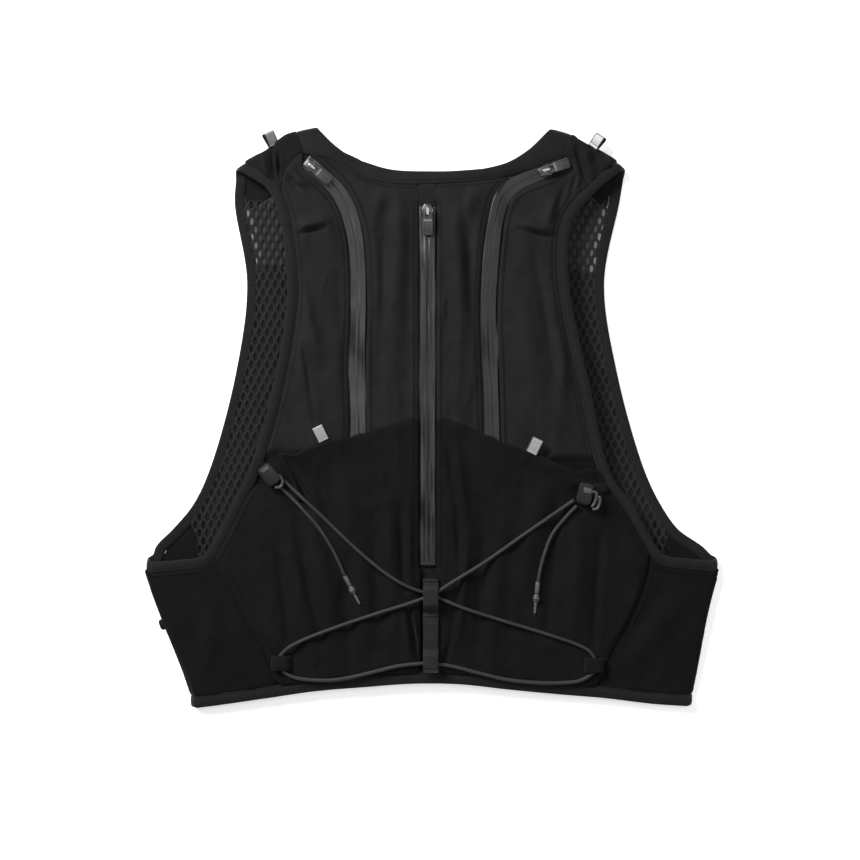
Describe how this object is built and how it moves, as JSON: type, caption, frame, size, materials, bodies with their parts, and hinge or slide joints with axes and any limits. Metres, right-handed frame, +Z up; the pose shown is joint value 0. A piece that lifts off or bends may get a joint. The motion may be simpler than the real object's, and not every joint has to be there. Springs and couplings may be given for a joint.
{
  "type": "running hydration vest",
  "caption": "Close-fitting running vest laid flat with its back up, with zipped and open back pockets, net front panels and elastic lacing over the lower back.",
  "frame": {"origin": "centre of the outline box on the surface that the vest lies on", "axes": "+Z up out of the vest's back, +Y from the hem to the neck, +X to the wearer's right side as seen from above"},
  "size_m": [0.4288, 0.434, 0.027],
  "materials": {
    "stretch_cloth": "matt black woven stretch cloth",
    "pocket_cloth": "matt black stretch pocket cloth, a little looser",
    "net_cloth": "black open diamond net",
    "binding": "black folded elastic binding with fine ribs",
    "webbing": "black narrow woven webbing",
    "bungee": "black braided cover over an elastic core",
    "cord_end_cloth": "knotted braided cord in a short shrunk tube",
    "zip_laminate": "water-resistant laminated zip tape, satin",
    "black_metal": "black lacquered slider, worn bright at the bail",
    "rubber_pull": "moulded matt black zip pull",
    "reflective_tape": "silver-grey retroreflective tape",
    "hard_plastic": "moulded black nylon"
  },
  "bodies": {
    "root": {"armhole_band_left": "binding", "armhole_band_right": "binding", "neck_band": "binding", "shoulder_yoke_left": "stretch_cloth", "shoulder_yoke_right": "stretch_cloth", "hem_band": "binding", "side_panel_left": "stretch_cloth", "side_panel_right": "stretch_cloth", "zip_tape_centre": "zip_laminate", "zip_tape_left": "zip_laminate", "zip_tape_right": "zip_laminate", "back_centre_strip": "stretch_cloth", "back_centre_top": "stretch_cloth", "back_centre_left": "stretch_cloth", "back_outer_left": "stretch_cloth", "back_centre_right": "stretch_cloth", "back_outer_right": "stretch_cloth", "back_pocket_left": "pocket_cloth", "back_pocket_right": "pocket_cloth", "front_edge_band_left": "binding", "front_net_left": "net_cloth", "front_pocket_left": "pocket_cloth", "front_edge_band_right": "binding", "front_net_right": "net_cloth", "front_pocket_right": "pocket_cloth", "chest_strap": "binding", "zip_slider_centre": "black_metal", "zip_pull_centre": "rubber_pull", "zip_slider_left": "black_metal", "zip_pull_left": "rubber_pull", "zip_slider_right": "black_metal", "zip_pull_right": "rubber_pull", "reflective_loop_pocket_left": "reflective_tape", "reflective_loop_pocket_right": "reflective_tape", "reflective_loop_shoulder_left": "reflective_tape", "reflective_loop_shoulder_right": "reflective_tape", "cord_lacing": "bungee", "cord_tail_left": "bungee", "cord_end_left": "cord_end_cloth", "cord_tail_right": "bungee", "cord_end_right": "cord_end_cloth", "ladder_webbing": "webbing", "cord_keeper_left": "webbing", "cord_keeper_right": "webbing", "lock_anchor_left": "webbing", "cord_lock_left": "hard_plastic", "lock_anchor_right": "webbing", "cord_lock_right": "hard_plastic", "side_tab": "webbing"}
  },
  "joints": []
}
